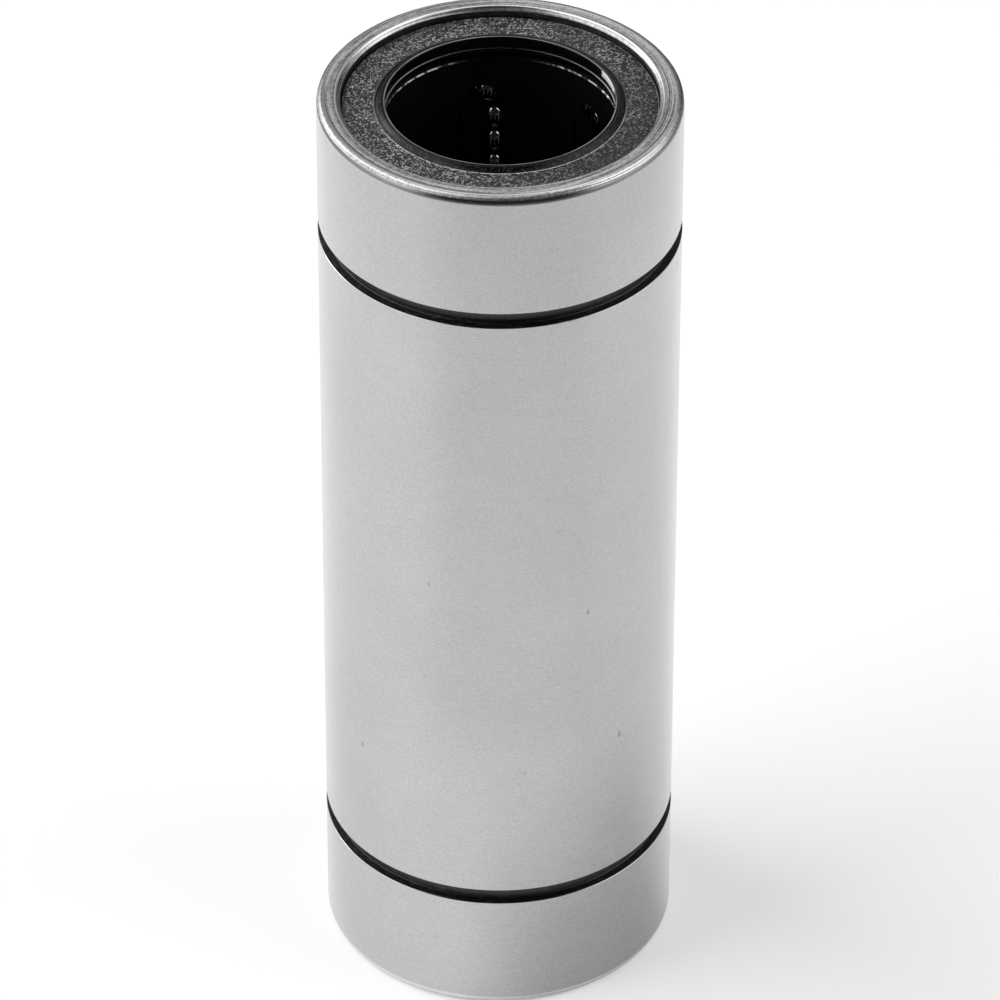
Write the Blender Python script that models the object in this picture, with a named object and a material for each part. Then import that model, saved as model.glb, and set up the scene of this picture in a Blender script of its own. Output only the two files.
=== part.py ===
"""Linear ball bearing for a 25 mm shaft: closed, long type, sealed at both ends.

One ground steel cylinder holds two plastic ball retainers, pushed in from either end. Each
retainer guides six endless circuits of balls: a loaded row that touches the shaft and the
raceway, a turn, a return row in a covered channel, and a second turn. A steel ring and a
rubber seal close each end. Units are metres. The bearing stands on its lower end face, with
its axis along +Z and its origin at the middle of that face.
"""

import math

import bmesh
import bpy
from mathutils import Vector

# Whole bearing
LENGTH = 0.112
SHAFT_DIAMETER = 0.025

# Outer cylinder: rounded ends, two grooves for retaining rings, six raceway lands inside.
# Recess, seat and wall add up outwards from the raceway, to 40 mm across
RACEWAY_WIDTH = 0.0019
RACEWAY_FLANK_WIDTH = 0.0013
RECESS_DEPTH = 0.00117
SEAT_STEP = 0.00045
CYLINDER_WALL = 0.002645
END_ROUNDING = 0.0009
GROOVE_INSET = 0.015
GROOVE_WIDTH = 0.00185
GROOVE_DEPTH = 0.001
MOUTH_CHAMFER_WIDTH = 0.0005
MOUTH_CHAMFER_DEPTH = 0.0004
BROACHING_STOCK = 0.001

# Balls: a row is one solid, so each ball runs a hair into the next
CIRCUITS = 6
BALL_DIAMETER = 0.003175
BALL_JOIN = 0.00001
FIRST_ROW_AZIMUTH = math.radians(92.6)

# Ball retainer: one moulding, used twice
RETAINER_SHAFT_GAP = 0.00025
CHANNEL_WEB = 0.0014
RETAINER_END_WALL = 0.0024
RETAINER_MIDDLE_WALL = 0.0015

# Seal and end ring
SEAL_RECESS = 0.00115
SEAL_THICKNESS = 0.0014
LIP_RISE = 0.0005
LIP_WIDTH = 0.00105
LIP_LAND = 0.00012
LIP_SQUEEZE = 0.00005
LIP_RELIEF = 0.00015
RING_THICKNESS = 0.00075
RING_SHAFT_GAP = 0.0011

# Clearances
RACEWAY_GAP = 0.00006
CHANNEL_GAP = 0.00012
RETAINER_GAP = 0.0003
SEAT_GAP = 0.0001

# Facets of a full turn, of a half turn of the ball channel, and of the balls
ROUND_FACETS = 48
RECESS_FACETS = 4
TURN_FACETS = 4
LOAD_BALL_FACETS = 5
RETURN_BALL_FACETS = 4
BALL_RING_LATITUDE = math.radians(28)

# Radii that follow, from the shaft outwards
shaft_radius = SHAFT_DIAMETER / 2
ball_radius = BALL_DIAMETER / 2
load_radius = shaft_radius + ball_radius
retainer_inner_radius = shaft_radius + RETAINER_SHAFT_GAP
channel_half = ball_radius + CHANNEL_GAP
turn_radius = channel_half + CHANNEL_WEB / 2
return_offset = 2 * turn_radius
raceway_radius = shaft_radius + BALL_DIAMETER + RACEWAY_GAP
recess_radius = raceway_radius + RECESS_DEPTH
retainer_radius = recess_radius - RETAINER_GAP
seat_radius = recess_radius + SEAT_STEP
outer_radius = seat_radius + CYLINDER_WALL
groove_radius = outer_radius - GROOVE_DEPTH

# Depths that follow, from the end face inwards
seal_back = SEAL_RECESS + SEAL_THICKNESS
ring_front = seal_back + SEAT_GAP
ring_back = ring_front + RING_THICKNESS
shoulder_depth = ring_back + SEAT_GAP
retainer_front = shoulder_depth + SEAT_GAP
retainer_back = LENGTH / 2 - RETAINER_GAP / 2

# The ball circuit: as many balls as the straight has room for, and the play of half a ball
ball_pitch = BALL_DIAMETER - BALL_JOIN
ball_travel = ball_radius
turn_reach = turn_radius + channel_half
straight_room = (retainer_back - retainer_front - 2 * turn_reach
                 - RETAINER_END_WALL - RETAINER_MIDDLE_WALL)
balls_in_row = int((straight_room - 2 * ball_travel) / ball_pitch) + 1
straight_length = (balls_in_row - 1) * ball_pitch + 2 * ball_travel
straight_front = retainer_front + RETAINER_END_WALL + turn_reach
straight_back = straight_front + straight_length


def clear_scene():
    for thing in list(bpy.data.objects):
        bpy.data.objects.remove(thing, do_unlink=True)


def material(name, colour, roughness, metallic):
    made = bpy.data.materials.new(name)
    made.use_nodes = True
    surface = made.node_tree.nodes["Principled BSDF"]
    surface.inputs["Base Color"].default_value = (*colour, 1)
    surface.inputs["Roughness"].default_value = roughness
    surface.inputs["Metallic"].default_value = metallic
    return made


def add_object(name, mesh, parent, place=(0, 0, 0), finish=None):
    thing = bpy.data.objects.new(name, mesh)
    bpy.context.scene.collection.objects.link(thing)
    thing.parent = parent
    thing.location = place
    if finish and not mesh.materials:
        mesh.materials.append(finish)
    return thing


def add_empty(name, parent=None, place=(0, 0, 0), turn=(0, 0, 0)):
    thing = add_object(name, None, parent, place)
    thing.rotation_euler = turn
    return thing


def mesh_from(name, bm, smooth_under=math.radians(30)):
    mesh = bpy.data.meshes.new(name)
    bm.to_mesh(mesh)
    bm.free()
    mesh.shade_smooth()
    mesh.set_sharp_from_angle(angle=smooth_under)
    return mesh


def turned_ring(name, profile, parent, finish):
    """A ring turned from a closed outline of (radius, height), down its outer side and up its bore."""
    bm = bmesh.new()
    points = [bm.verts.new((radius, 0, height)) for radius, height in profile]
    for first, second in zip(points, points[1:] + points[:1]):
        bm.edges.new((first, second))
    mesh = bpy.data.meshes.new(name)
    bm.to_mesh(mesh)
    bm.free()
    thing = add_object(name, mesh, parent, finish=finish)
    screw = thing.modifiers.new("turning", "SCREW")
    screw.angle = math.tau
    screw.steps = ROUND_FACETS
    screw.render_steps = ROUND_FACETS
    screw.use_merge_vertices = True
    screw.merge_threshold = 0.00001
    screw.use_smooth_shade = True
    return thing


def prism(bm, outline, low, high):
    """Extrudes an outline of (x, y) from one height to another."""
    face = bm.faces.new([bm.verts.new((x, y, low)) for x, y in outline])
    pushed = bmesh.ops.extrude_face_region(bm, geom=[face])["geom"]
    bmesh.ops.translate(bm, vec=(0, 0, high - low),
                        verts=[v for v in pushed if isinstance(v, bmesh.types.BMVert)])
    bmesh.ops.recalc_face_normals(bm, faces=bm.faces)


def land_outline(land_radius, land_half_width, flank_width, full_radius):
    """Round outline of full_radius, with a flat-topped land at each circuit's loaded row."""
    land_angle = math.asin(land_half_width / land_radius)
    flank_angle = math.asin((land_half_width + flank_width) / full_radius)
    sector = math.tau / CIRCUITS
    points = []
    for circuit in range(CIRCUITS):
        middle = circuit * sector
        points.append((land_radius, middle - land_angle))
        points.append((land_radius, middle + land_angle))
        for step in range(RECESS_FACETS + 1):
            swing = flank_angle + (sector - 2 * flank_angle) * step / RECESS_FACETS
            points.append((full_radius, middle + swing))
    return [(r * math.cos(angle), r * math.sin(angle)) for r, angle in points]


def cutter(name, bm, parent):
    """A hidden tool body for a Boolean."""
    thing = add_object(name, mesh_from(name, bm), parent)
    thing.hide_render = True
    thing.display_type = "WIRE"
    return thing


def cut(body, tool):
    boolean = body.modifiers.new("cut by " + tool.name, "BOOLEAN")
    boolean.operation = "DIFFERENCE"
    boolean.object = tool


def end_rounding(top):
    """Outline of one rounded end of the cylinder, from its flat face to its side."""
    middle = outer_radius - END_ROUNDING
    height = LENGTH - END_ROUNDING
    points = []
    for quarter in (90, 45, 0):
        angle = math.radians(quarter)
        points.append((middle + END_ROUNDING * math.cos(angle), height + END_ROUNDING * math.sin(angle)))
    return points if top else [(r, LENGTH - z) for r, z in reversed(points)]


def outer_cylinder(parent, finish):
    """Hardened steel cylinder, ground outside, with a counterbore for ring and seal at each end."""
    groove_low = GROOVE_INSET + GROOVE_WIDTH
    groove = [(outer_radius, GROOVE_INSET), (groove_radius, GROOVE_INSET),
              (groove_radius, groove_low), (outer_radius, groove_low)]
    mouth = [(seat_radius + MOUTH_CHAMFER_WIDTH, 0), (seat_radius, MOUTH_CHAMFER_DEPTH),
             (seat_radius, shoulder_depth)]
    blank_radius = raceway_radius - BROACHING_STOCK
    outside = end_rounding(True)
    outside += [(r, LENGTH - depth) for r, depth in groove]
    outside += [(r, depth) for r, depth in reversed(groove)]
    outside += end_rounding(False)
    inside = mouth + [(blank_radius, shoulder_depth), (blank_radius, LENGTH - shoulder_depth)]
    inside += [(r, LENGTH - depth) for r, depth in reversed(mouth)]
    body = turned_ring("outer_cylinder", outside + inside, parent, finish)
    bm = bmesh.new()
    outline = land_outline(raceway_radius, RACEWAY_WIDTH / 2, RACEWAY_FLANK_WIDTH, recess_radius)
    prism(bm, outline, shoulder_depth / 2, LENGTH - shoulder_depth / 2)
    cut(body, cutter("raceway_broach", bm, parent))


def channel_section():
    """Section of the ball channel: (sideways, outwards) from the ball's middle, round bottom in flats."""
    corner = channel_half / math.cos(math.radians(22.5))
    points = [(-channel_half, outer_radius - load_radius)]
    for degrees in (202.5, 247.5, 292.5, 337.5):
        angle = math.radians(degrees)
        points.append((corner * math.cos(angle), corner * math.sin(angle)))
    points.append((channel_half, outer_radius - load_radius))
    return points


def add_channel(bm, azimuth):
    """One endless oval channel: two straights and two half turns, cut straight outwards."""
    outwards = Vector((math.cos(azimuth), math.sin(azimuth), 0))
    sideways = Vector((-math.sin(azimuth), math.cos(azimuth), 0))
    upwards = Vector((0, 0, 1))
    step = math.pi / TURN_FACETS
    widening = 1 / math.cos(step / 2)
    rings = []
    for turn_height, start in ((LENGTH - straight_front, 0), (LENGTH - straight_back, math.pi)):
        middle = outwards * load_radius + sideways * turn_radius + upwards * turn_height
        for facet in range(TURN_FACETS):
            angle = start + step * (facet + 0.5)
            along = sideways * math.cos(angle) + upwards * math.sin(angle)
            ring = []
            for side, out in channel_section():
                ring.append(bm.verts.new(middle + along * (turn_radius + side) * widening + outwards * out))
            rings.append(ring)
    for ring, following in zip(rings, rings[1:] + rings[:1]):
        count = len(ring)
        for i in range(count):
            bm.faces.new((ring[i], ring[(i + 1) % count], following[(i + 1) % count], following[i]))


def retainer_blank():
    """The retainer before its channels: a sleeve that fits between the lands."""
    flank_shift = RETAINER_GAP / 2
    outline = land_outline(raceway_radius - RETAINER_GAP, RACEWAY_WIDTH / 2 + flank_shift / 2,
                           RACEWAY_FLANK_WIDTH, retainer_radius)
    bm = bmesh.new()
    step = math.tau / ROUND_FACETS
    bore = [(retainer_inner_radius * math.cos(step * i), retainer_inner_radius * math.sin(step * i))
            for i in range(ROUND_FACETS)]
    return outline, bore, bm


def add_retainer(name, parent, finish):
    """Moulded plastic cage with six oval ball channels, open to the shaft along the loaded row."""
    low, high = LENGTH - retainer_back, LENGTH - retainer_front
    outline, bore, bm = retainer_blank()
    prism(bm, outline, low, high)
    body = add_object(name, mesh_from(name, bm), parent, finish=finish)
    bm = bmesh.new()
    prism(bm, bore, low - RETAINER_GAP, high + RETAINER_GAP)
    cut(body, cutter(name + "_bore", bm, parent))
    bm = bmesh.new()
    for circuit in range(CIRCUITS):
        add_channel(bm, math.tau * circuit / CIRCUITS)
    bmesh.ops.recalc_face_normals(bm, faces=bm.faces)
    cut(body, cutter(name + "_channels", bm, parent))


def ball_string_mesh(name, count, facets, direction, middle):
    """Balls in line that touch: two staggered rings of points a ball, and a neck between balls."""
    ring_radius = ball_radius * math.cos(BALL_RING_LATITUDE)
    ring_height = ball_radius * math.sin(BALL_RING_LATITUDE)
    neck_radius = math.sqrt(ball_radius ** 2 - (ball_pitch / 2) ** 2)
    first = -(count - 1) * ball_pitch / 2
    stations = []
    for ball in range(count):
        height = first + ball * ball_pitch
        stations += [(ring_radius, height - ring_height), (ring_radius, height + ring_height)]
        if ball < count - 1:
            stations.append((neck_radius, height + ball_pitch / 2))
    lean = Vector((0, 0, 1)).rotation_difference(Vector(direction))
    bm = bmesh.new()
    rings = []
    for index, (radius, height) in enumerate(stations):
        ring = []
        for facet in range(facets):
            angle = math.tau * (facet + index / 2) / facets
            point = Vector((radius * math.cos(angle), radius * math.sin(angle), height))
            ring.append(bm.verts.new(lean @ point + Vector(middle)))
        rings.append(ring)
    poles = [bm.verts.new(lean @ Vector((0, 0, side * (first - ball_radius))) + Vector(middle))
             for side in (1, -1)]
    for i in range(facets):
        j = (i + 1) % facets
        for ring, following in zip(rings, rings[1:]):
            bm.faces.new((ring[i], ring[j], following[i]))
            bm.faces.new((ring[j], following[j], following[i]))
        bm.faces.new((poles[0], rings[0][j], rings[0][i]))
        bm.faces.new((poles[1], rings[-1][i], rings[-1][j]))
    return mesh_from(name, bm, math.pi)


def add_circuit(side, number, meshes, half, finish):
    """The balls of one circuit: loaded row, return row, and the two balls in each turn."""
    axis = add_empty(f"{side}_{number}_circuit", half, turn=(0, 0, math.tau * (number - 1) / CIRCUITS))
    row_height = LENGTH - (straight_front + straight_back) / 2
    places = {
        "load_balls": (load_radius, 0, row_height),
        "return_balls": (load_radius, return_offset, row_height),
        "end_turn_balls": (load_radius, turn_radius, LENGTH - straight_front),
        "middle_turn_balls": (load_radius, turn_radius, LENGTH - straight_back),
    }
    for kind, place in places.items():
        add_object(f"{side}_{number}_{kind}", meshes[kind], axis, place, finish)


def add_seal(name, parent, finish):
    """Rubber seal bonded to a metal washer, with one lip raised towards the outside."""
    face = LENGTH - SEAL_RECESS
    back = LENGTH - seal_back
    edge = seat_radius - SEAT_GAP
    lip_radius = shaft_radius - LIP_SQUEEZE
    lip_top = face + LIP_RISE
    profile = [
        (lip_radius + LIP_LAND, lip_top), (lip_radius + LIP_WIDTH, face), (edge, face), (edge, back),
        (lip_radius + LIP_RELIEF, back), (lip_radius, lip_top - LIP_LAND),
    ]
    turned_ring(name, profile, parent, finish)


def add_end_ring(name, parent, finish):
    """Flat steel ring that keeps the retainer in and rests on the ends of the lands."""
    bore = shaft_radius + RING_SHAFT_GAP
    edge = seat_radius - SEAT_GAP
    low, high = LENGTH - ring_back, LENGTH - ring_front
    turned_ring(name, [(edge, high), (edge, low), (bore, low), (bore, high)], parent, finish)


def build():
    clear_scene()
    ground_steel = material("ground steel", (0.62, 0.62, 0.62), 0.35, 1.0)
    ball_steel = material("ball steel", (0.75, 0.75, 0.76), 0.08, 1.0)
    ring_steel = material("ring steel", (0.5, 0.5, 0.5), 0.3, 1.0)
    black_resin = material("black resin", (0.02, 0.02, 0.02), 0.45, 0.0)
    black_rubber = material("black rubber", (0.05, 0.05, 0.05), 0.7, 0.0)

    turn_lift = math.sqrt(turn_radius ** 2 - (ball_pitch / 2) ** 2)
    sideways = (0, 1, 0)
    meshes = {
        "load_balls": ball_string_mesh("load_row", balls_in_row, LOAD_BALL_FACETS, (0, 0, 1), (0, 0, 0)),
        "return_balls": ball_string_mesh("return_row", balls_in_row, RETURN_BALL_FACETS, (0, 0, 1), (0, 0, 0)),
        "end_turn_balls": ball_string_mesh("end_turn", 2, LOAD_BALL_FACETS, sideways, (0, 0, turn_lift)),
        "middle_turn_balls": ball_string_mesh("middle_turn", 2, LOAD_BALL_FACETS, sideways, (0, 0, -turn_lift)),
    }

    axis = add_empty("bearing_axis", turn=(0, 0, FIRST_ROW_AZIMUTH))
    outer_cylinder(axis, ground_steel)
    halves = {
        "upper": add_empty("upper_half", axis),
        "lower": add_empty("lower_half", axis, place=(0, 0, LENGTH), turn=(math.pi, 0, 0)),
    }
    for side, half in halves.items():
        add_retainer(f"{side}_ball_retainer", half, black_resin)
        for number in range(1, CIRCUITS + 1):
            add_circuit(side, number, meshes, half, ball_steel)
        add_end_ring(f"{side}_end_ring", half, ring_steel)
        add_seal(f"{side}_seal", half, black_rubber)


build()
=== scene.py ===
import math

import bmesh
import bpy
from mathutils import Matrix, Vector


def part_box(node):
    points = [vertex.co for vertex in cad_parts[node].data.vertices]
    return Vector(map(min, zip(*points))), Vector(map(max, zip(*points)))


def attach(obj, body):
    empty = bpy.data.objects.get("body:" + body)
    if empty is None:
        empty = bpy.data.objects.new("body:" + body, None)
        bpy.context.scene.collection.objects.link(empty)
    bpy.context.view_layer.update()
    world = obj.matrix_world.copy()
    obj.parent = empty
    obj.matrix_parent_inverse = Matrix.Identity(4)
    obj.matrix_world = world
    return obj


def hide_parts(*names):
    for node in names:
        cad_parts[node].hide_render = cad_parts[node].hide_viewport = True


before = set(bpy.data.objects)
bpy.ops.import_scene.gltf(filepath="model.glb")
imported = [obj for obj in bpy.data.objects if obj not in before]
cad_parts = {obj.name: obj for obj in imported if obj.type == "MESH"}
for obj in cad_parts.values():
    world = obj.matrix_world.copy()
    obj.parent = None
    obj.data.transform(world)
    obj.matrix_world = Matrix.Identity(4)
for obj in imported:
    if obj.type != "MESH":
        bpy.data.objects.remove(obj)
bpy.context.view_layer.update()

mm = 0.001

# Outer cylinder
# One tube of bearing steel, hardened and then ground outside, with rounded ends and a groove near
# each for a retaining ring. The grooves keep the black scale of the hardening. Inside, six lands
# along it carry the loaded ball rows, and each end is bored out as a seat.
length = 112 * mm
cylinder_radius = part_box("outer_cylinder")[1].x
end_rounding = 0.9 * mm
end_rounding_start = 32
end_rounding_steps = 8
end_taper = ((20.0, 1.02), (19.991, 0.98), (19.94, 0.76))
edge_support = 0.04 * mm
mouth_rounding = 0.3 * mm
mouth_rounding_radius = 17.886 * mm
mouth_rounding_steps = 4
mouth_chamfer_angle = 138.7
mouth_chamfer_depth = 0.45 * mm
seat_radius = 17.355 * mm
shoulder_depth = 3.5 * mm
groove_depth = 1.0 * mm
groove_inset = 15.0 * mm
groove_width = 1.85 * mm
groove_edge_break = 0.05 * mm
groove_corner = 0.12 * mm
corner_steps = 3
raceway_radius = 15.735 * mm
raceway_half_width = 0.95 * mm
raceway_flank = 1.3 * mm
recess_radius = 16.905 * mm
circuits = 6
first_row_azimuth = math.radians(92.6)
land_steps = 4
recess_steps = 22
smooth_under = math.radians(35)
ground, turned, scale, burnished = 0, 1, 2, 3
burnished_from = 70


def arc(middle_radius, middle_depth, size, first, last, steps):
    """Points of a rounded edge, as (radius, depth), from one direction in degrees to another."""
    points = []
    for step in range(steps + 1):
        angle = math.radians(first + (last - first) * step / steps)
        points.append((middle_radius + size * math.cos(angle), middle_depth - size * math.sin(angle)))
    return points


def landed_round(land_radius, land_half, flank, full_radius):
    """A round of full_radius with a raised land at each loaded row: (radius, azimuth) all the way round."""
    sector = math.tau / circuits
    land_angle = math.asin(land_half / land_radius)
    flank_angle = math.asin((land_half + flank) / full_radius)
    land_corner = Vector((land_radius * math.cos(land_angle), land_radius * math.sin(land_angle)))
    flank_corner = Vector((full_radius * math.cos(flank_angle), full_radius * math.sin(flank_angle)))
    flank_middle = (land_corner + flank_corner) / 2
    middle_angle = math.atan2(flank_middle.y, flank_middle.x)
    points = []
    for circuit in range(circuits):
        azimuth = first_row_azimuth + circuit * sector
        points.append((flank_middle.length, azimuth - middle_angle))
        for step in range(land_steps + 1):
            points.append((land_radius, azimuth + land_angle * (2 * step / land_steps - 1)))
        points.append((flank_middle.length, azimuth + middle_angle))
        for step in range(recess_steps + 1):
            swing = flank_angle + (sector - 2 * flank_angle) * step / recess_steps
            points.append((full_radius, azimuth + swing))
    return points


def piece_from(name, bm, finishes, body):
    """The finished mesh as a piece of the bearing that moves with a body."""
    bmesh.ops.remove_doubles(bm, verts=bm.verts, dist=1e-7)
    bmesh.ops.recalc_face_normals(bm, faces=bm.faces)
    mesh = bpy.data.meshes.new(name)
    bm.to_mesh(mesh)
    bm.free()
    for finish in finishes:
        mesh.materials.append(finish)
    mesh.shade_smooth()
    mesh.set_sharp_from_angle(angle=smooth_under)
    piece = bpy.data.objects.new(name, mesh)
    bpy.context.scene.collection.objects.link(piece)
    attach(piece, body)
    return piece


def ring_faces(bm, rings, numbers):
    """Joins closed rings of points into a skin, each strip with its finish number."""
    for index, ring in enumerate(rings):
        following = rings[(index + 1) % len(rings)]
        count = len(ring)
        for i in range(count):
            j = (i + 1) % count
            face = bm.faces.new((ring[i], ring[j], following[j], following[i]))
            face.material_index = numbers[index]


def turn(outline, around):
    """A ring turned from (radius, depth, finish number); a radius of None is the one of the round."""
    bm = bmesh.new()
    rings = []
    for radius, depth, number in outline:
        ring = []
        for round_radius, azimuth in around:
            reach = round_radius if radius is None else radius
            ring.append(bm.verts.new((reach * math.cos(azimuth), reach * math.sin(azimuth), length - depth)))
        rings.append(ring)
    ring_faces(bm, rings, [number for radius, depth, number in outline])
    return bm


def finished(points, number):
    """Points of an outline, each with the number of the finish that starts there."""
    return [(radius, depth, number) for radius, depth in points]


def new_finish(name, metallic, constants):
    """An empty finish: its material, its nodes and its shader, with the constant values set."""
    made = bpy.data.materials.new(name)
    made.use_nodes = True
    surface = made.node_tree.nodes["Principled BSDF"]
    surface.inputs["Metallic"].default_value = metallic
    for socket, value in constants.items():
        surface.inputs[socket].default_value = value
    return made, made.node_tree, surface


def node(tree, kind, settings=None, values=None):
    """One node, with its settings, and with its inputs either linked or set."""
    made = tree.nodes.new("ShaderNode" + kind)
    for name, value in (settings or {}).items():
        setattr(made, name, value)
    for socket, value in (values or {}).items():
        if isinstance(value, bpy.types.NodeSocket):
            tree.links.new(value, made.inputs[socket])
        else:
            made.inputs[socket].default_value = value
    return made


def stretched(tree, at, stretch):
    """A place or a direction, made longer along each axis."""
    return node(tree, "VectorMath", {"operation": "MULTIPLY"}, {0: at, 1: stretch}).outputs["Vector"]


def place_on_piece(tree, stretch=(1, 1, 1)):
    """The point on the piece, in metres, stretched along each axis."""
    return stretched(tree, node(tree, "TexCoord").outputs["Object"], stretch)


def parts_of(tree, at):
    """The parts of a place or a direction: across, onwards and up."""
    parts = node(tree, "SeparateXYZ", None, {0: at})
    return parts.outputs["X"], parts.outputs["Y"], parts.outputs["Z"]


def axis_distance(tree):
    """How far the point lies from the bearing's axis, in metres."""
    flat = place_on_piece(tree, (1, 1, 0))
    return node(tree, "VectorMath", {"operation": "LENGTH"}, {0: flat}).outputs["Value"]


def turning_place(tree, fineness, round_fineness):
    """The point as (radius, height, along the turning mark), so that marks run round the axis."""
    across, onwards, height = parts_of(tree, place_on_piece(tree))
    along = reckon(tree, "ADD", across, onwards)
    joined = node(tree, "CombineXYZ", None, {0: axis_distance(tree), 1: height, 2: along})
    return stretched(tree, joined.outputs["Vector"], (fineness, fineness, round_fineness))


def grain(tree, at, fineness, detail=3.0, broken=0.5):
    """Random light and dark, 0 to 1, at a fineness in marks per metre."""
    made = node(tree, "TexNoise", None,
                {"Vector": at, "Scale": fineness, "Detail": detail, "Roughness": broken})
    return made.outputs["Fac"]


def between(tree, value, low, high, to_low=0.0, to_high=1.0, smooth=False):
    """value from low to high, carried over to another range and held at its ends."""
    shape = {"interpolation_type": "SMOOTHSTEP"} if smooth else None
    made = node(tree, "MapRange", shape, {"Value": value, "From Min": low, "From Max": high,
                                         "To Min": to_low, "To Max": to_high})
    return made.outputs["Result"]


def spread(tree, pattern, to_low, to_high):
    """The range that nearly all of a grain lies in, carried over to another range."""
    return between(tree, pattern, 0.3, 0.7, to_low, to_high)


def reckon(tree, operation, first, second=0.0):
    return node(tree, "Math", {"operation": operation}, {0: first, 1: second}).outputs["Value"]


def product(tree, *values):
    """Patterns and numbers, times each other."""
    result = values[0]
    for value in values[1:]:
        result = reckon(tree, "MULTIPLY", result, value)
    return result


def weighed(tree, *parts):
    """The sum of patterns, each times its weight."""
    products = [product(tree, pattern, weight) for pattern, weight in parts]
    result = products[0]
    for value in products[1:]:
        result = reckon(tree, "ADD", result, value)
    return result


def grey(level):
    return (level, level, level, 1)


def tint(tree, share, first, second):
    """From one colour to another, either of them a pattern or fixed, as share goes from 0 to 1."""
    return node(tree, "Mix", {"data_type": "RGBA"}, {"Factor": share, 6: first, 7: second}).outputs[2]


def dress(tree, surface, colour, roughness, height, depth):
    """Gives the shader its colour, its roughness and a relief of that depth in metres."""
    relief = node(tree, "Bump", None, {"Height": height, "Distance": depth, "Strength": 1.0})
    tree.links.new(colour, surface.inputs["Base Color"])
    tree.links.new(roughness, surface.inputs["Roughness"])
    tree.links.new(relief.outputs["Normal"], surface.inputs["Normal"])


def along_the_axis(tree, surface):
    """Stretches reflections across the grinding marks, which run round the axis."""
    tangent = node(tree, "Tangent", {"direction_type": "RADIAL", "axis": "Z"})
    tree.links.new(tangent.outputs["Tangent"], surface.inputs["Tangent"])
    surface.inputs["Anisotropic Rotation"].default_value = 0.25


def ground_steel_finish():
    """Satin steel: fine grinding lines round it, a tight speckle, faint clouds and a few nicks."""
    dark_steel = grey(0.385)
    pale_steel = (0.55, 0.55, 0.545, 1)
    nicked_steel = grey(0.3)
    nicks_per_metre = 190
    nick_depth = 2.0
    made, tree, surface = new_finish("ground_steel", 1.0, {"Anisotropic": 0.2})
    lines = grain(tree, place_on_piece(tree, (1, 1, 14)), fineness=420, detail=5.0, broken=0.7)
    speckle = grain(tree, place_on_piece(tree, (1, 1, 1.7)), fineness=3200, detail=2.0, broken=0.6)
    clouds = grain(tree, place_on_piece(tree), fineness=60)
    spots = node(tree, "TexVoronoi", {"feature": "F1"},
                 {"Vector": place_on_piece(tree, (1, 1, 0.45)), "Scale": nicks_per_metre, "Randomness": 1.0})
    nick = between(tree, spots.outputs["Distance"], 0.025, 0.045, 1.0, 0.0)
    shade = weighed(tree, (lines, 0.3), (speckle, 0.5), (clouds, 0.2))
    colour = tint(tree, spread(tree, shade, 0.0, 1.0), dark_steel, pale_steel)
    height = reckon(tree, "SUBTRACT", shade, product(tree, nick, nick_depth))
    dress(tree, surface, tint(tree, nick, colour, nicked_steel), spread(tree, lines, 0.21, 0.27),
          height, 0.002 * mm)
    along_the_axis(tree, surface)
    return made


def turned_steel_finish():
    """The rim, roundings and mouth: turned before hardening, with tool marks round the axis."""
    made, tree, surface = new_finish("turned_steel", 1.0, {"Anisotropic": 0.4})
    marks = grain(tree, turning_place(tree, 5000, 60), fineness=1.0, detail=1.0)
    patches = grain(tree, place_on_piece(tree), fineness=2800, broken=0.65)
    shade = weighed(tree, (marks, 0.7), (patches, 0.3))
    colour = tint(tree, between(tree, shade, 0.40, 0.60), grey(0.18), grey(0.82))
    dress(tree, surface, colour, spread(tree, patches, 0.36, 0.46), marks, 0.02 * mm)
    along_the_axis(tree, surface)
    return made


def burnished_edge_finish():
    """The narrow edges of the rim, made bright by handling."""
    made, tree, surface = new_finish("burnished_edge", 1.0, {})
    marks = grain(tree, turning_place(tree, 4200, 60), fineness=1.0, broken=0.6)
    colour = tint(tree, between(tree, marks, 0.35, 0.65), grey(0.5), grey(0.8))
    dress(tree, surface, colour, spread(tree, marks, 0.17, 0.26), marks, 0.008 * mm)
    return made


def black_scale_finish():
    """The black scale of hardening, left in the grooves: dull, with paler specks where it is scuffed."""
    made, tree, surface = new_finish("black_scale", 0.0, {"Specular IOR Level": 0.85})
    specks = grain(tree, place_on_piece(tree, (1, 1, 1.6)), fineness=1500, detail=5.0, broken=0.65)
    patches = grain(tree, place_on_piece(tree), fineness=300)
    paler = product(tree, between(tree, specks, 0.52, 0.75), between(tree, patches, 0.35, 0.7, 0.2, 1.0))
    colour = tint(tree, paler, grey(0.004), grey(0.10))
    dress(tree, surface, colour, spread(tree, specks, 0.3, 0.55), specks, 0.02 * mm)
    return made


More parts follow.
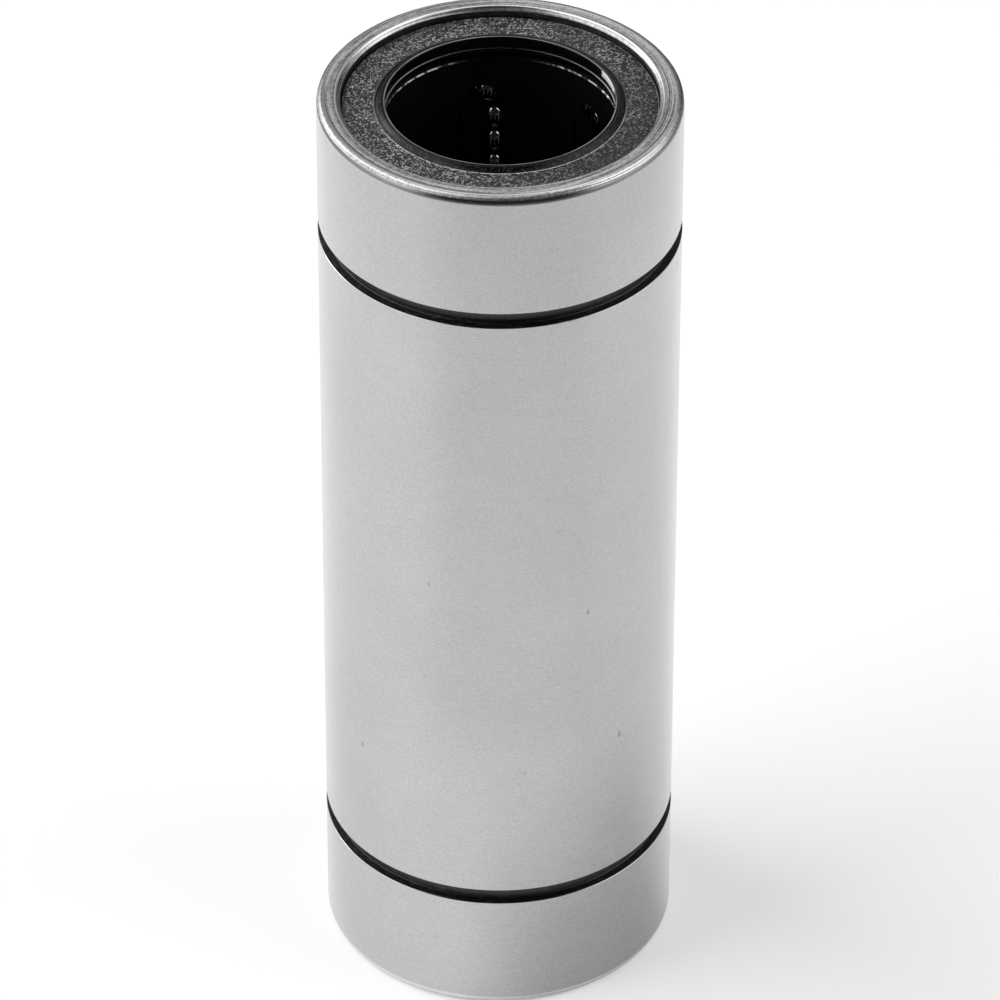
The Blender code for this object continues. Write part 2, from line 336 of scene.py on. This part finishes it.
def cylinder_outline():
    """Outline of the upper half, from the groove's lower edge over the rim and down to the shoulder."""
    corner_middle = cylinder_radius - groove_depth + groove_corner
    groove_end = groove_inset + groove_width
    lower_corner = arc(corner_middle, groove_end - groove_corner, groove_corner, 270, 180, corner_steps)
    upper_corner = arc(corner_middle, groove_inset + groove_corner, groove_corner, 180, 90, corner_steps)
    points = [(cylinder_radius, groove_end + groove_edge_break, ground),
              (cylinder_radius - groove_edge_break, groove_end, scale)]
    points += finished(lower_corner + upper_corner, scale)
    points += [(cylinder_radius - groove_edge_break, groove_inset, ground),
               (cylinder_radius, groove_inset - groove_edge_break, ground),
               (cylinder_radius, end_taper[0][1] * mm + edge_support, ground)]
    points += [(min(r * mm, cylinder_radius), d * mm, burnished) for r, d in end_taper]
    rounding_middle = cylinder_radius - end_rounding
    rounding = arc(rounding_middle, end_rounding, end_rounding, end_rounding_start, 90, end_rounding_steps)
    for step, point in enumerate(rounding):
        direction = end_rounding_start + (90 - end_rounding_start) * step / end_rounding_steps
        points.append((*point, burnished if direction > burnished_from else turned))
    points += [(rounding_middle - edge_support, 0, turned),
               (mouth_rounding_radius + edge_support, 0, burnished)]
    mouth = arc(mouth_rounding_radius, mouth_rounding, mouth_rounding, 90, mouth_chamfer_angle,
                mouth_rounding_steps)
    points += finished(mouth, burnished)
    chamfer = math.radians(mouth_chamfer_angle)
    points += [(mouth[-1][0] - edge_support * math.sin(chamfer),
                mouth[-1][1] - edge_support * math.cos(chamfer), turned),
               (seat_radius, mouth_chamfer_depth, scale), (seat_radius, shoulder_depth, scale),
               (None, shoulder_depth, turned)]
    return points


bore_round = landed_round(raceway_radius, raceway_half_width, raceway_flank, recess_radius)
upper_outline = cylinder_outline()
strip_numbers = [number for radius, depth, number in upper_outline]
lower_outline = []
for index in range(len(upper_outline) - 1, -1, -1):
    radius, depth, number = upper_outline[index]
    lower_outline.append((radius, length - depth, strip_numbers[index - 1] if index else ground))
cylinder_finishes = [ground_steel_finish(), turned_steel_finish(), black_scale_finish(),
                     burnished_edge_finish()]
cylinder = piece_from("outer_tube", turn(upper_outline + lower_outline, bore_round), cylinder_finishes,
                      "housing")
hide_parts("outer_cylinder")

# Ball retainers
# Two black mouldings, one pushed in from each end, that fit between the lands. Each has six oval
# channels, open on the outside: a ball shows to the shaft through a slot along the loaded row, and
# the return row runs behind the bore wall, which has a narrow slit along it.
retainer_front = 3.6 * mm
retainer_back = 55.85 * mm
retainer_bore = 12.75 * mm
retainer_radius = 16.605 * mm
retainer_edge = 0.12 * mm
# The second finish is the front edge's, with painted glints in pale dashes.
moulded, glint_front = 0, 1
glints_beyond = 4.6 * mm
glints_fade = 1.5 * mm
flat_radius = 15.435 * mm
flat_half_width = 1.025 * mm
ball_row_radius = 14.0875 * mm
channel_half = 1.7075 * mm
turn_radius = 2.4075 * mm
front_turn_depth = 10.115 * mm
back_turn_depth = 48.105 * mm
return_slit_half = 0.22 * mm
return_slit_place = 3.85 * mm
return_slit_reach = (-3 * mm, -1 * mm)
channel_cut_reach = 4.5 * mm
channel_bottom_steps = 12
channel_turn_steps = 14


def circuit_axes(azimuth):
    """Outwards, sideways and upwards at one loaded row of the upper half."""
    outwards = Vector((math.cos(azimuth), math.sin(azimuth), 0))
    return outwards, Vector((-outwards.y, outwards.x, 0)), Vector((0, 0, 1))


def channel_cut(bm, azimuth):
    """The room that one oval channel takes: a round bottom, and straight walls outwards."""
    outwards, sideways, upwards = circuit_axes(azimuth)
    section = [(-channel_half, channel_cut_reach)]
    for step in range(channel_bottom_steps + 1):
        angle = math.pi + math.pi * step / channel_bottom_steps
        section.append((channel_half * math.cos(angle), channel_half * math.sin(angle)))
    section.append((channel_half, channel_cut_reach))
    rings = []
    for turn_depth, start in ((front_turn_depth, 0), (back_turn_depth, math.pi)):
        middle = outwards * ball_row_radius + sideways * turn_radius + upwards * (length - turn_depth)
        for step in range(channel_turn_steps + 1):
            angle = start + math.pi * step / channel_turn_steps
            along = sideways * math.cos(angle) + upwards * math.sin(angle)
            rings.append([bm.verts.new(middle + along * (turn_radius + side) + outwards * out)
                          for side, out in section])
    ring_faces(bm, rings, [0] * len(rings))


def slit_cut(bm, azimuth):
    """The narrow slit through the bore wall along the return row."""
    outwards, sideways, upwards = circuit_axes(azimuth)
    corners = []
    for depth in (front_turn_depth, back_turn_depth):
        for out, side in ((0, -1), (1, -1), (1, 1), (0, 1)):
            at = outwards * (ball_row_radius + return_slit_reach[out]) + upwards * (length - depth)
            corners.append(bm.verts.new(at + sideways * (return_slit_place + side * return_slit_half)))
    for face in ((0, 1, 2, 3), (7, 6, 5, 4), (0, 4, 5, 1), (1, 5, 6, 2), (2, 6, 7, 3), (3, 7, 4, 0)):
        bm.faces.new([corners[i] for i in face])


def cut_away(piece, bm):
    """Takes the room in bm out of the piece for good."""
    bmesh.ops.recalc_face_normals(bm, faces=bm.faces)
    mesh = bpy.data.meshes.new("cut")
    bm.to_mesh(mesh)
    bm.free()
    tool = bpy.data.objects.new("cut", mesh)
    bpy.context.scene.collection.objects.link(tool)
    boolean = piece.modifiers.new("cut", "BOOLEAN")
    boolean.operation = "DIFFERENCE"
    boolean.solver = "EXACT"
    boolean.object = tool
    bpy.context.view_layer.update()
    cut = bpy.data.meshes.new_from_object(piece.evaluated_get(bpy.context.evaluated_depsgraph_get()))
    piece.modifiers.clear()
    piece.data = cut
    bpy.data.objects.remove(tool)


def black_resin_finish():
    """Glass-filled moulded plastic: near black, satin, with a fine mould grain."""
    made, tree, surface = new_finish("black_resin", 0.0, {"Specular IOR Level": 0.25})
    fine = grain(tree, place_on_piece(tree), fineness=3500, detail=4.0, broken=0.6)
    flow = grain(tree, place_on_piece(tree, (1, 1, 0.25)), fineness=320)
    colour = tint(tree, flow, grey(0.0018), grey(0.004))
    dress(tree, surface, colour, spread(tree, flow, 0.38, 0.52), fine, 0.006 * mm)
    return made


def painted_glint_edge_finish():
    """The retainer's front edge, with pale metal dashes painted on it as glints, only at its left and right.
    """
    made, tree, surface = new_finish("painted_glint_edge", 0.8, {"Specular IOR Level": 0.8})
    dashes = grain(tree, place_on_piece(tree), fineness=1500, detail=2.0)
    # Painted glints: pale dashes only where the edge lies more than about 4.6 mm to the left or right.
    aside = reckon(tree, "ABSOLUTE", parts_of(tree, place_on_piece(tree))[0])
    painted_glints = product(tree, between(tree, dashes, 0.46, 0.56),
                     between(tree, aside, glints_beyond, glints_beyond + glints_fade))
    colour = tint(tree, painted_glints, grey(0.003), grey(0.26))
    dress(tree, surface, colour, spread(tree, dashes, 0.3, 0.16), dashes, 0.02 * mm)
    return made


retainer_round = landed_round(flat_radius, flat_half_width, raceway_flank, retainer_radius)
retainer_outline = [(None, retainer_front, moulded), (None, retainer_back, moulded),
                    (retainer_bore + retainer_edge, retainer_back, moulded),
                    (retainer_bore, retainer_back - retainer_edge, moulded),
                    (retainer_bore, retainer_front + retainer_edge, glint_front),
                    (retainer_bore + retainer_edge, retainer_front, moulded)]
half_turn = (Matrix.Translation((0, 0, length / 2))
             @ Matrix.Rotation(math.pi, 4, circuit_axes(first_row_azimuth)[0])
             @ Matrix.Translation((0, 0, -length / 2)))
retainer_finishes = [black_resin_finish(), painted_glint_edge_finish()]
for half in ("upper", "lower"):
    retainer = piece_from(half + "_retainer", turn(retainer_outline, retainer_round), retainer_finishes,
                          "housing")
    for cut_room in (channel_cut, slit_cut):
        room = bmesh.new()
        for circuit in range(circuits):
            cut_room(room, first_row_azimuth + math.tau * circuit / circuits)
        cut_away(retainer, room)
    if half == "lower":
        retainer.data.transform(half_turn)
    retainer.data.set_sharp_from_angle(angle=smooth_under)
    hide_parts(half + "_ball_retainer")

# Balls
# Bearing steel, 3.175 mm, lapped to a mirror, and made a hair smaller here so that neighbours only
# touch. Each of the twelve circuits has twelve under load, twelve on their way back and two in each
# turn. Balls that move alike make one piece: a row, or the pair in a turn.
balls_in_row = 12
ball_pitch = 3.165 * mm
ball_facets = 28
ball_rings = 16


def ball_steel_finish():
    """Lapped steel under a thin coat of oil, with the faint haze that running leaves."""
    made, tree, surface = new_finish("ball_steel", 1.0, {"Coat Weight": 0.15, "Coat Roughness": 0.05})
    haze = grain(tree, place_on_piece(tree), fineness=1400, detail=5.0, broken=0.6)
    film = grain(tree, place_on_piece(tree), fineness=500)
    colour = tint(tree, film, (0.54, 0.54, 0.55, 1), grey(0.64))
    dress(tree, surface, colour, between(tree, haze, 0.35, 0.75, 0.03, 0.09), haze, 0.0006 * mm)
    return made


def ball_piece(name, middles, finish):
    """Balls at those middles, as one piece that stands for the solid of the same name."""
    bm = bmesh.new()
    for middle in middles:
        bmesh.ops.create_uvsphere(bm, u_segments=ball_facets, v_segments=ball_rings, radius=ball_pitch / 2,
                                  matrix=Matrix.Translation(middle))
    mesh = bpy.data.meshes.new(name)
    bm.to_mesh(mesh)
    bm.free()
    mesh.materials.append(finish)
    mesh.shade_smooth()
    piece = bpy.data.objects.new(name + "_lapped", mesh)
    bpy.context.scene.collection.objects.link(piece)
    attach(piece, name)
    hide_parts(name)


ball_steel = ball_steel_finish()
row_middle = length - (front_turn_depth + back_turn_depth) / 2
turn_lift = math.sqrt(turn_radius ** 2 - (ball_pitch / 2) ** 2)
for half in ("upper", "lower"):
    flip = half_turn if half == "lower" else Matrix.Identity(4)
    for circuit in range(circuits):
        outwards, sideways, upwards = circuit_axes(first_row_azimuth + math.tau * circuit / circuits)
        heights = [row_middle + ball_pitch * (ball - (balls_in_row - 1) / 2) for ball in range(balls_in_row)]
        load_line = outwards * ball_row_radius
        return_line = load_line + sideways * 2 * turn_radius
        places = {
            "load_balls": [load_line + upwards * height for height in heights],
            "return_balls": [return_line + upwards * height for height in heights],
        }
        for kind, depth, lift in (("end_turn_balls", front_turn_depth, turn_lift),
                                  ("middle_turn_balls", back_turn_depth, -turn_lift)):
            apex = load_line + sideways * turn_radius + upwards * (length - depth + lift)
            places[kind] = [apex + sideways * side * ball_pitch / 2 for side in (-1, 1)]
        for kind, middles in places.items():
            ball_piece(f"{half}_{circuit + 1}_{kind}", [flip @ middle for middle in middles], ball_steel)

# End rings
# A flat ring pressed from steel strip lies on the shoulder at each end, and keeps the retainer and
# its balls in. Its edges are rounded by tumbling.
ring_front = 2.65 * mm
ring_back = 3.4 * mm
ring_bore = 13.6 * mm
seat_fit_radius = 17.255 * mm
ring_edge = 0.12 * mm
ring_facets = 180


def ring_steel_finish():
    """Pressed strip, tumbled: dull grey with a rolled grain."""
    made, tree, surface = new_finish("ring_steel", 1.0, {})
    rolled = grain(tree, place_on_piece(tree, (1, 0.15, 1)), fineness=2400, detail=4.0, broken=0.6)
    colour = tint(tree, rolled, grey(0.36), grey(0.52))
    dress(tree, surface, colour, spread(tree, rolled, 0.25, 0.42), rolled, 0.004 * mm)
    return made


def even_round(count):
    """A plain round: evenly spaced azimuths, with no radius of its own."""
    return [(None, math.tau * step / count) for step in range(count)]


def rounded_section(corners, size):
    """Rounds a section's corners, each given as its radius, its depth and its first direction."""
    points = []
    for radius, depth, first in corners:
        middle_radius = radius - size * (1 if first in (0, 270) else -1)
        middle_depth = depth + size * (1 if first in (0, 90) else -1)
        points += arc(middle_radius, middle_depth, size, first, first + 90, corner_steps)
    return points


ring_corners = [(seat_fit_radius, ring_front, 0), (ring_bore, ring_front, 90),
                (ring_bore, ring_back, 180), (seat_fit_radius, ring_back, 270)]
ring_outline = finished(rounded_section(ring_corners, ring_edge), 0)
ring_steel = ring_steel_finish()
for half in ("upper", "lower"):
    end_ring = piece_from(half + "_ring", turn(ring_outline, even_round(ring_facets)), [ring_steel],
                          "housing")
    if half == "lower":
        end_ring.data.transform(half_turn)
    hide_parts(half + "_end_ring")

# Seals
# Nitrile rubber moulded round a thin steel washer and pushed into the seat, with a spark-eroded grain
# whose crests are painted pale as sparkle. A smooth lip bears on the shaft; its crest, which the shaft
# wears, has a painted highlight, and its inner wall a painted glint. The mould's split line is a ridge
# round the lip's foot, painted pale in front as a highlight, as is the face's outer edge at the right,
# and a bead of the washer shows on the inner wall.
seal_face = 1.15 * mm
seal_back = 2.55 * mm
lip_radius = 12.45 * mm
lip_top = 0.65 * mm
lip_rounding = 0.16 * mm
lip_rounding_end = 60
lip_rounding_steps = 8
# The span of the lip's rounding, in degrees, that carries the painted highlight.
lip_highlight_span = (90, 120)
lip_groove = ((12.73, 0.73), (12.78, 0.74), (12.83, 0.70), (12.88, 0.68), (12.94, 0.69))
lip_foot_radius = 13.55 * mm
lip_foot_depth = 0.05 * mm
lip_foot_steps = 5
lip_foot_hollow = 1.5
lip_slope = (lip_radius + 0.35 * mm, lip_radius + 0.5 * mm)
split_line_radius = 13.69 * mm
split_line_half = 0.06 * mm
split_line_foot_inside = 0.096 * mm
split_line_foot_outside = 0.12 * mm
split_line_height = 0.07 * mm
wall_radius = lip_radius + 0.15 * mm
bead_depth = 2.21 * mm
bead_half = 0.06 * mm
bead_height = 0.08 * mm
seal_outer_edge = 0.12 * mm
washer_inner_radius = 13.9 * mm
washer_outer_radius = 16.6 * mm
washer_inset = 0.06 * mm
grained, smooth, washer, highlit_edges, worn_crest_highlight = 0, 1, 2, 3, 4
# The painted sparkle on the face's grain fades to a share of itself towards the right front.
sparkle_fade_way = (0.8, 0.6)
sparkle_fade_reach = (4 * mm, 15 * mm)
sparkle_left_at_right_front = 0.45
# Where the painted glint, a pale patch standing in for a lamp's reflection, lies on the lip's inner wall.
painted_glint_along = (0.18, 0.60)
painted_glint_along_fade = 0.04
painted_glint_heights = (110.75 * mm, 111.75 * mm)
painted_glint_height_fade = 0.2 * mm
painted_glint_slant = 0.5 * mm
painted_glint_ragged = 0.12
painted_glint_wall = (lip_radius + 0.10 * mm, lip_radius + 0.14 * mm)
painted_glint_right = (7 * mm, 8 * mm)
face_middle = (15 * mm, 16 * mm)
pale_in_front = (-7 * mm, 1 * mm)
pale_at_right = (3 * mm, 8 * mm)


def grained_rubber_finish():
    """The seal's face: black rubber, coarse grain with painted sparkle on its crests, less at the right
    front.
    """
    made, tree, surface = new_finish("grained_rubber", 0.0, {"Specular IOR Level": 0.4})
    fine = grain(tree, place_on_piece(tree), fineness=4200, broken=0.65)
    coarse = grain(tree, place_on_piece(tree), fineness=1300, broken=0.55)
    patches = grain(tree, place_on_piece(tree), fineness=200)
    across, onwards = parts_of(tree, place_on_piece(tree))[:2]
    right_front = reckon(tree, "SUBTRACT", product(tree, across, sparkle_fade_way[0]),
                         product(tree, onwards, sparkle_fade_way[1]))
    # Painted sparkle: pale on the crests of the fine grain, fading towards the right front.
    crests = product(tree, between(tree, fine, 0.51, 0.63), spread(tree, patches, 0.55, 1.0),
                     between(tree, right_front, *sparkle_fade_reach, 1.0, sparkle_left_at_right_front))
    colour = tint(tree, crests, grey(0.006), grey(0.60))
    dress(tree, surface, colour, spread(tree, coarse, 0.3, 0.5),
          weighed(tree, (fine, 0.5), (coarse, 0.5)), 0.2 * mm)
    return made


def band(tree, value, low, high, fade):
    """1 from low to high, falling to 0 over the fade inside each end."""
    rising = between(tree, value, low, low + fade)
    return product(tree, rising, between(tree, value, high - fade, high, 1.0, 0.0))


def smooth_rubber_finish():
    """The lip: black rubber from a polished part of the mould, with a painted glint on its inner wall."""
    made, tree, surface = new_finish("smooth_rubber", 0.0, {"Specular IOR Level": 0.24})
    marks = grain(tree, turning_place(tree, 2500, 60), fineness=1.0)
    fine = grain(tree, place_on_piece(tree), fineness=3400, broken=0.6)
    out = axis_distance(tree)
    slope = between(tree, out, *lip_slope)
    specks = product(tree, slope, between(tree, fine, 0.52, 0.68))
    rubber = tint(tree, specks, grey(0.003), grey(0.055))
    across, onwards, height = parts_of(tree, place_on_piece(tree))
    # Painted glint: a pale patch on the inner wall at the right back, standing in for a lamp's reflection.
    ragged = product(tree, grain(tree, place_on_piece(tree), fineness=900), painted_glint_ragged)
    along = reckon(tree, "DIVIDE", onwards, reckon(tree, "MAXIMUM", across, painted_glint_right[1]))
    along = reckon(tree, "ADD", along, ragged)
    high = reckon(tree, "ADD", height, product(tree, along, painted_glint_slant))
    painted_glint = product(tree, band(tree, along, *painted_glint_along, painted_glint_along_fade),
                    band(tree, high, *painted_glint_heights, painted_glint_height_fade),
                    between(tree, out, *painted_glint_wall, 1.0, 0.0), between(tree, across, *painted_glint_right))
    relief = reckon(tree, "ADD", marks, product(tree, slope, fine))
    dress(tree, surface, tint(tree, painted_glint, rubber, grey(0.85)), spread(tree, marks, 0.22, 0.34),
          relief, 0.02 * mm)
    return made


def worn_lip_highlight_finish():
    """The lip's crest, which the shaft wears, painted paler as its highlight line."""
    made, tree, surface = new_finish("worn_lip_highlight", 0.0, {"Specular IOR Level": 0.5})
    marks = grain(tree, turning_place(tree, 2500, 200), fineness=1.0)
    # Painted highlight: the crest's grey stands in for the thin bright line along it.
    colour = tint(tree, between(tree, marks, 0.35, 0.65), grey(0.13), grey(0.33))
    dress(tree, surface, colour, spread(tree, marks, 0.18, 0.3), marks, 0.008 * mm)
    return made


def highlit_rubber_finish():
    """The split line's crest in front and the face's outer edge at the right, painted pale in spots as
    highlights.
    """
    made, tree, surface = new_finish("highlit_rubber", 0.0, {"Specular IOR Level": 0.4})
    fine = grain(tree, place_on_piece(tree), fineness=2600, broken=0.6)
    out = axis_distance(tree)
    across, onwards = parts_of(tree, place_on_piece(tree))[:2]
    # Painted highlights: pale spots on the split line's crest in front and on the outer edge at the right.
    split_line = product(tree, between(tree, out, *face_middle, 1.0, 0.0),
                         between(tree, onwards, *pale_in_front, 1.0, 0.1))
    outer_edge = product(tree, between(tree, out, *face_middle), between(tree, across, *pale_at_right))
    pale = product(tree, between(tree, fine, 0.34, 0.52, 0.1, 1.0),
                   reckon(tree, "ADD", split_line, outer_edge))
    colour = tint(tree, pale, grey(0.012), grey(0.6))
    dress(tree, surface, colour, spread(tree, fine, 0.35, 0.5), fine, 0.05 * mm)
    return made


def lip_outline():
    """The lip's crest, the fine groove behind it and the hollow slope down to the face."""
    crest = arc(lip_radius + lip_rounding, lip_top + lip_rounding, lip_rounding, 180, lip_rounding_end,
                lip_rounding_steps)
    lip = []
    for step, point in enumerate(crest):
        direction = 180 + (lip_rounding_end - 180) * step / lip_rounding_steps
        lip.append((*point, worn_crest_highlight if lip_highlight_span[0] <= direction <= lip_highlight_span[1] else smooth))
    lip += [(r * mm, d * mm, smooth) for r, d in lip_groove]
    top_radius, top_depth = lip[-1][:2]
    for step in range(1, lip_foot_steps + 1):
        share = step / lip_foot_steps
        radius = top_radius + (lip_foot_radius - top_radius) * share
        drop = (seal_face + lip_foot_depth - top_depth) * (1 - (1 - share) ** lip_foot_hollow)
        lip.append((radius, top_depth + drop, smooth))
    return lip


def seal_outline():
    """Outline of the upper seal: from the lip's crest over the face, down and back to the lip."""
    ridge = [(split_line_radius - split_line_foot_inside, seal_face, highlit_edges),
             (split_line_radius - split_line_half, seal_face - split_line_height, highlit_edges),
             (split_line_radius + split_line_half, seal_face - split_line_height, grained),
             (split_line_radius + split_line_foot_outside, seal_face, grained)]
    edge = finished(arc(seat_fit_radius - seal_outer_edge, seal_face + seal_outer_edge, seal_outer_edge,
                        90, 0, corner_steps), highlit_edges)
    back = [(seat_fit_radius, seal_back, grained),
            (washer_outer_radius, seal_back, grained),
            (washer_outer_radius - washer_inset, seal_back - washer_inset, washer),
            (washer_inner_radius + washer_inset, seal_back - washer_inset, grained),
            (washer_inner_radius, seal_back, smooth)]
    bead = [(wall_radius, seal_back, smooth),
            (wall_radius, bead_depth + bead_half, washer),
            (wall_radius - bead_height, bead_depth + bead_half / 2, washer),
            (wall_radius - bead_height, bead_depth - bead_half / 2, washer),
            (wall_radius, bead_depth - bead_half, smooth)]
    return lip_outline() + ridge + edge + back + bead


seal_finishes = [grained_rubber_finish(), smooth_rubber_finish(), ring_steel, highlit_rubber_finish(),
                 worn_lip_highlight_finish()]
for half in ("upper", "lower"):
    seal = piece_from(half + "_rubber_seal", turn(seal_outline(), even_round(ring_facets)), seal_finishes,
                      "housing")
    if half == "lower":
        seal.data.transform(half_turn)
    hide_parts(half + "_seal")

# Floor
# A white table under the bearing. The camera, and metal that mirrors it, see it white, and the
# bearing's own shadow still falls on it. What steel mirrors of it has painted shade: greyer under the
# bore, at the foot on the right and in front, and dark past its edge for the room beyond.
floor_reach = 1.5
floor_drop = 0.02 * mm
floor_colour = 0.85
floor_fibre = 0.01
floor_glow = 0.32
mirrored_glow = 0.46
table_edge = (0.175, 0.335)
past_edge = 0.78
past_front_edge = 0.95
front_sector = (0.5, 0.9)
front_painted_shade = 0.11
front_painted_shade_reach = (0.045, 0.08)
front_painted_shade_azimuth = 8
foot_shade = 0.36
foot_shade_reach = (0.027, 0.068)
foot_shade_azimuth = 42
foot_sector = (0.45, 1.0)
foot_back_fade = (-0.4, 0.2)
foot_back_share = 0.2
bore_shade = 0.85
bore_shade_reach = (0.0145, 0.0165)


def seen_white(tree):
    """1 for what the camera, glossy and clear materials see, and 1 for what metal mirrors."""
    path = node(tree, "LightPath")
    seen = reckon(tree, "MAXIMUM", path.outputs["Is Camera Ray"], path.outputs["Is Glossy Ray"])
    return reckon(tree, "MAXIMUM", seen, path.outputs["Is Transmission Ray"]), path.outputs["Is Glossy Ray"]


def towards(tree, at, azimuth):
    """1 at points straight out from the axis at so many degrees right of front, 0 square to that."""
    flat = node(tree, "VectorMath", {"operation": "NORMALIZE"}, {0: at}).outputs["Vector"]
    turned_by = math.radians(azimuth)
    way = (math.sin(turned_by), -math.cos(turned_by), 0)
    return node(tree, "VectorMath", {"operation": "DOT_PRODUCT"}, {0: flat, 1: way}).outputs["Value"]


def remainder(tree, share):
    """What is left of 1 when a share of it is gone."""
    return reckon(tree, "SUBTRACT", 1.0, share)


bm = bmesh.new()
corners = []
for x, y in ((-1, -1), (1, -1), (1, 1), (-1, 1)):
    corners.append(bm.verts.new((x * floor_reach, y * floor_reach, -floor_drop)))
bm.faces.new(corners)
floor_mesh = bpy.data.meshes.new("table")
bm.to_mesh(floor_mesh)
bm.free()
table = bpy.data.objects.new("table", floor_mesh)
bpy.context.scene.collection.objects.link(table)
table_finish, tree, surface = new_finish("white_table", 0.0, {"Specular IOR Level": 0.0, "Roughness": 1.0})
floor_mesh.materials.append(table_finish)
seen, mirrored = seen_white(tree)
at = place_on_piece(tree)
reach = node(tree, "VectorMath", {"operation": "LENGTH"}, {0: at}).outputs["Value"]
in_front = towards(tree, at, 0)
# Painted shade, seen only in reflections: dark past the table's edge, greyer in front, at the foot on the
# right and under the bore.
painted_shade = product(tree, between(tree, reach, *table_edge, smooth=True),
               between(tree, in_front, *front_sector, past_edge, past_front_edge, smooth=True))
painted_front_shade = product(tree, between(tree, reach, *front_painted_shade_reach, 0.0, front_painted_shade, smooth=True),
              between(tree, towards(tree, at, front_painted_shade_azimuth), *front_sector, smooth=True))
foot = product(tree, between(tree, reach, *foot_shade_reach, foot_shade, 0.0, smooth=True),
               between(tree, towards(tree, at, foot_shade_azimuth), *foot_sector, smooth=True),
               between(tree, in_front, *foot_back_fade, foot_back_share, 1.0))
under_bore = between(tree, reach, *bore_shade_reach, bore_shade, 0.0, smooth=True)
for shade in (painted_front_shade, foot, under_bore):
    painted_shade = reckon(tree, "MAXIMUM", painted_shade, shade)
left = remainder(tree, product(tree, painted_shade, mirrored))
fibres = spread(tree, grain(tree, at, fineness=900), floor_colour - floor_fibre, floor_colour + floor_fibre)
tree.links.new(product(tree, fibres, left), surface.inputs["Base Color"])
surface.inputs["Emission Color"].default_value = grey(1)
glow = between(tree, mirrored, 0.0, 1.0, floor_glow, mirrored_glow)
tree.links.new(product(tree, seen, product(tree, left, glow)), surface.inputs["Emission Strength"])

# Light
# A tent of white cloth: steel mirrors it bright at the sides and overhead, grey behind, and dark
# where it is open in front for the lens. Two soft boxes light it from outside. One small lamp low
# behind at the left glints on the rim, and two small ones overhead put points of light on the balls.
soft_boxes = {
    "left_box": {"from": (-0.80, 0.05, 0.55), "size": (1.3, 0.9), "bright": 2.7, "mirrored": False},
    "right_box": {"from": (0.85, -0.10, 0.55), "size": (0.8, 0.9), "bright": 1.3, "mirrored": False},
    "edge_lamp": {"from": (-0.84, 0.45, 0.31), "size": (0.45, 0.22), "bright": 3.4, "mirrored": True},
    "overhead_left": {"from": (-0.45, -0.32, 0.85), "size": (0.10, 0.36), "bright": 2.4, "mirrored": True},
    "overhead_right": {"from": (0.42, -0.34, 0.85), "size": (0.10, 0.30), "bright": 2.3, "mirrored": True},
}
box_distance = 1.05
room_light = 0.30
tent_bright = 1.62
tent_dark = 0.012
opening_half = (-0.03, 0.45)
opening_slope = 0.8
opening_shift = 0.13
opening_shift_reach = (0.0, 0.4)
low_share = 0.35
low_reach = (0.0, 0.5)
back_wall_loss = 0.76
back_wall_behind = (0.35, 0.65)
back_wall_top = (0.72, 0.86)
back_wall_left = (-0.55, -0.25)
right_corner_loss = 0.75
right_corner_right = (0.15, 0.45)
right_corner_top = (0.42, 0.62)
right_corner_behind = (0.2, 0.45)

for name, box in soft_boxes.items():
    wide, tall = box["size"]
    light = bpy.data.lights.new(name, "AREA")
    light.shape = "RECTANGLE"
    light.size = wide
    light.size_y = tall
    light.energy = box["bright"] * math.pi * wide * tall
    lamp = bpy.data.objects.new(name, light)
    direction = Vector(box["from"]).normalized()
    lamp.location = direction * box_distance + Vector((0, 0, length))
    lamp.rotation_euler = direction.to_track_quat("Z", "Y").to_euler()
    lamp.visible_camera = False
    lamp.visible_glossy = box["mirrored"]
    bpy.context.scene.collection.objects.link(lamp)

room = bpy.data.worlds.new("room")
room.use_nodes = True
tree = room.node_tree
background = tree.nodes["Background"]
seen, mirrored = seen_white(tree)
across, onwards, upwards = parts_of(tree, node(tree, "TexCoord").outputs["Generated"])
beside = reckon(tree, "ADD", reckon(tree, "ABSOLUTE", across), product(tree, onwards, opening_slope))
shift = between(tree, across, *opening_shift_reach, 0.0, opening_shift, smooth=True)
beside = reckon(tree, "SUBTRACT", beside, shift)
back_wall = product(tree, between(tree, onwards, *back_wall_behind, 0.0, back_wall_loss, smooth=True),
                    between(tree, upwards, *back_wall_top, 1.0, 0.0, smooth=True),
                    between(tree, across, *back_wall_left, smooth=True))
right_corner = product(tree, between(tree, across, *right_corner_right, 0.0, right_corner_loss, smooth=True),
                       between(tree, upwards, *right_corner_top, 1.0, 0.0, smooth=True),
                       between(tree, onwards, *right_corner_behind, smooth=True))
cloth = product(tree, between(tree, beside, *opening_half, 0.0, tent_bright, smooth=True),
                between(tree, upwards, *low_reach, low_share, 1.0, smooth=True),
                remainder(tree, back_wall), remainder(tree, right_corner))
cloth = reckon(tree, "ADD", cloth, tent_dark)
shown = reckon(tree, "ADD", product(tree, cloth, mirrored), remainder(tree, mirrored))
strength = reckon(tree, "ADD", product(tree, shown, seen), product(tree, remainder(tree, seen), room_light))
background.inputs["Color"].default_value = grey(1)
tree.links.new(strength, background.inputs["Strength"])
bpy.context.scene.world = room

# Camera
# A long lens from in front and above, at the photo's angle. Its shift and a slight lean put the
# bearing where the photo has it.
camera_place = (0, -0.66228, 0.55028)
camera_down = math.radians(36.735)
camera_lean = 0.0021
focal_length = 264.0
film_width = 36.0
lens_shift = (0.00061, 0.00969)
nearest_seen = 0.01
lens = bpy.data.cameras.new("camera")
lens.lens = focal_length
lens.sensor_width = film_width
lens.shift_x, lens.shift_y = lens_shift
lens.clip_start = nearest_seen
camera = bpy.data.objects.new("camera", lens)
camera.matrix_world = (Matrix.Translation(camera_place) @ Matrix.Rotation(math.pi / 2 - camera_down, 4, "X")
                       @ Matrix.Rotation(camera_lean, 4, "Z"))
bpy.context.scene.collection.objects.link(camera)
bpy.context.scene.camera = camera
bpy.context.scene.view_settings.view_transform = "Standard"
